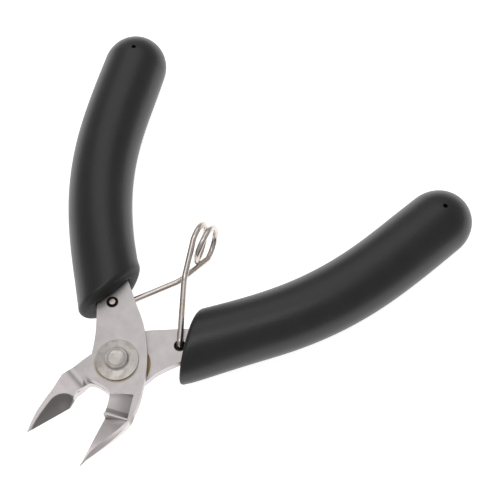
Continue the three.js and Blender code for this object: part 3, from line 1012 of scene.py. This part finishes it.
class CUTTER_OT_rivet(bpy.types.Operator):
    """Make the pivot rivet, its rear head and the friction washer's finish"""

    bl_idname = "cutter.rivet"
    bl_label = "Pivot rivet"

    def execute(self, context):
        settings = context.scene.flush_cutter.rivet
        steel = turned_steel(settings)
        seat = PLATE_FACE + SEAT_GAP
        shank, flange = settings.shank_radius / MM, settings.flange_radius / MM
        boss, ring = settings.boss_radius / MM, settings.ring_radius / MM
        front = [
            (0, -seat),
            (shank, -seat),
            (shank, seat),
            (flange, seat),
            (flange, seat + FLANGE_RIM),
            (boss + 0.28, seat + CONE_TOP),
            (boss + 0.02, seat + BOSS_FOOT),
            (boss - 0.12, seat + BOSS_SHOULDER),
            (boss - 0.42, seat + BOSS_TOP),
            (boss - 0.85, seat + BOSS_SHOULDER),
            (boss - 1.5, seat + DISH_RIM),
            (0, seat + DISH_FLOOR),
        ]
        rear_seat = -seat - SEAT_GAP
        rear_face = rear_seat - REAR_HEAD_HEIGHT
        rear = [
            (0, rear_face),
            (1.9, rear_face),
            (2.05, rear_face + 0.08),
            (2.2, rear_face),
            (ring - 0.9, rear_face),
            (ring, rear_seat - 0.35),
            (ring, rear_seat),
            (0, rear_seat),
        ]
        for name, profile, node in (
            ("rivet", front, "pivot_rivet"),
            ("rivet_rear_head", rear, "rear_rivet_head"),
        ):
            piece = object_of(name, turned_mesh(name, eased(profile, TURNED_EASE)))
            finish_piece(piece, steel)
            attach(piece, BODY[FRONT])
            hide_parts(node)
        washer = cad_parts["friction_washer"]
        material = washer_bronze()
        for slot in washer.material_slots:
            slot.link = "OBJECT"
            slot.material = material
        return {"FINISHED"}


class CUTTER_OT_spring(bpy.types.Operator):
    """Make the return spring: two legs and the coil between them, from one swept wire"""

    bl_idname = "cutter.spring"
    bl_label = "Return spring"

    def execute(self, context):
        settings = context.scene.flush_cutter.spring
        material = drawn_steel(settings)
        tree, sockets = wire_tree()
        front_line, coil_line, rear_line = spring_lines()
        lift = Vector((0, 0, PLANE_HEIGHT))
        fx, fy = opened_hole(FRONT)
        rx, ry = opened_hole(REAR)
        front_hole = Vector((fx, fy, FRONT_NECK.z))
        rear_hole = Vector((rx, ry, REAR_NECK.z))
        front_end, rear_end = front_line[-1], rear_line[0]
        middle = (front_end + rear_end) / 2
        far = Vector((1000, 0, 0))
        spans = (
            ("spring_front_leg", front_line, front_hole, front_end * 2 - front_hole),
            ("spring_coil", coil_line, middle - far, middle + far),
            ("spring_rear_leg", rear_line, rear_end * 2 - rear_hole, rear_hole),
        )
        for name, line, start, end in spans:
            piece = wire_piece(name, line, tree, sockets, settings, material)
            finish_piece(piece, material)
            (start + lift) * MM
            (end + lift) * MM
            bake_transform(piece)
            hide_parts("return_spring")
        return {"FINISHED"}


class CUTTER_OT_stage(bpy.types.Operator):
    """Make the floor, the soft lights and the camera"""

    bl_idname = "cutter.stage"
    bl_label = "Stage"

    def execute(self, context):
        settings = context.scene.flush_cutter.stage
        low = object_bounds()[0]
        half, height = FLOOR_HALF * MM, low.z - FLOOR_GAP * MM
        mesh = bpy.data.meshes.new("floor")
        corners = [(-half, -half), (half, -half), (half, half), (-half, half)]
        mesh.from_pydata([(x, y, height) for x, y in corners], [], [(0, 1, 2, 3)])
        floor = object_of("floor", mesh)
        finish = Finish("pale_floor", roughness=0.9, specular_ior_level=0.0)
        finish.surface.inputs["Base Color"].default_value = (*settings.floor, 1.0)
        finish.surface.inputs["Emission Color"].default_value = (1, 1, 1, 1)
        finish.surface.inputs["Emission Strength"].default_value = settings.floor_glow
        mesh.materials.append(finish.material)
        floor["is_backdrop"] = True

        world = bpy.data.worlds.new("soft_room")
        world.use_nodes = True
        background = world.node_tree.nodes["Background"]
        background.inputs["Color"].default_value = (1, 1, 1, 1)
        background.inputs["Strength"].default_value = settings.room
        context.scene.world = world
        context.scene.view_settings.view_transform = "Standard"
        back_power, strip_power = settings.key * 0.34, settings.key * 0.36
        area_light("back_light", (-0.35, 0.5, 0.86), 0.7, (0.6, 0.4), back_power, (1, 0, 0))
        area_light("strip_light", (-0.08, -0.12, 1.0), 0.6, (0.5, 0.22), strip_power, (0.68, 0.73, 0))

        data = bpy.data.cameras.new("camera")
        data.lens = settings.lens
        data.sensor_width = SENSOR_WIDTH
        data.clip_start, data.clip_end = 0.01, 20.0
        camera = object_of("camera", data)
        camera.location = (CAMERA_PLACE + Vector((0, 0, PLANE_HEIGHT))) * MM
        camera.rotation_mode = "QUATERNION"
        camera.rotation_quaternion = CAMERA_BACK.to_track_quat("Z", "Y")
        context.scene.camera = camera
        return {"FINISHED"}


class CUTTER_PT_panel(bpy.types.Panel):
    """Sizes, colours and steps of the flush cutter"""

    bl_idname = "CUTTER_PT_panel"
    bl_label = "Flush Cutter"
    bl_space_type = "VIEW_3D"
    bl_region_type = "UI"
    bl_category = "Flush Cutter"

    def draw(self, context):
        cutter = context.scene.flush_cutter
        steps = (
            (cutter.plates, CUTTER_OT_plates),
            (cutter.grips, CUTTER_OT_grips),
            (cutter.rivet, CUTTER_OT_rivet),
            (cutter.spring, CUTTER_OT_spring),
            (cutter.stage, CUTTER_OT_stage),
        )
        for settings, operator in steps:
            box = self.layout.box()
            for name in settings.__annotations__:
                box.prop(settings, name)
            box.operator(operator.bl_idname)


SETTINGS = (
    CutterPlateSettings,
    CutterGripSettings,
    CutterRivetSettings,
    CutterSpringSettings,
    CutterStageSettings,
    CutterSettings,
)
OPERATORS = (
    CUTTER_OT_plates,
    CUTTER_OT_grips,
    CUTTER_OT_rivet,
    CUTTER_OT_spring,
    CUTTER_OT_stage,
)
CLASSES = (*SETTINGS, *OPERATORS, CUTTER_PT_panel)


def register():
    for cls in CLASSES:
        bpy.utils.register_class(cls)
    bpy.types.Scene.flush_cutter = PointerProperty(type=CutterSettings)


def unregister():
    del bpy.types.Scene.flush_cutter
    for cls in reversed(CLASSES):
        bpy.utils.unregister_class(cls)


def main():
    register()
    bpy.ops.cutter.plates()
    bpy.ops.cutter.grips()
    bpy.ops.cutter.rivet()
    bpy.ops.cutter.spring()
    bpy.ops.cutter.stage()


if __name__ == "__main__":
    main()
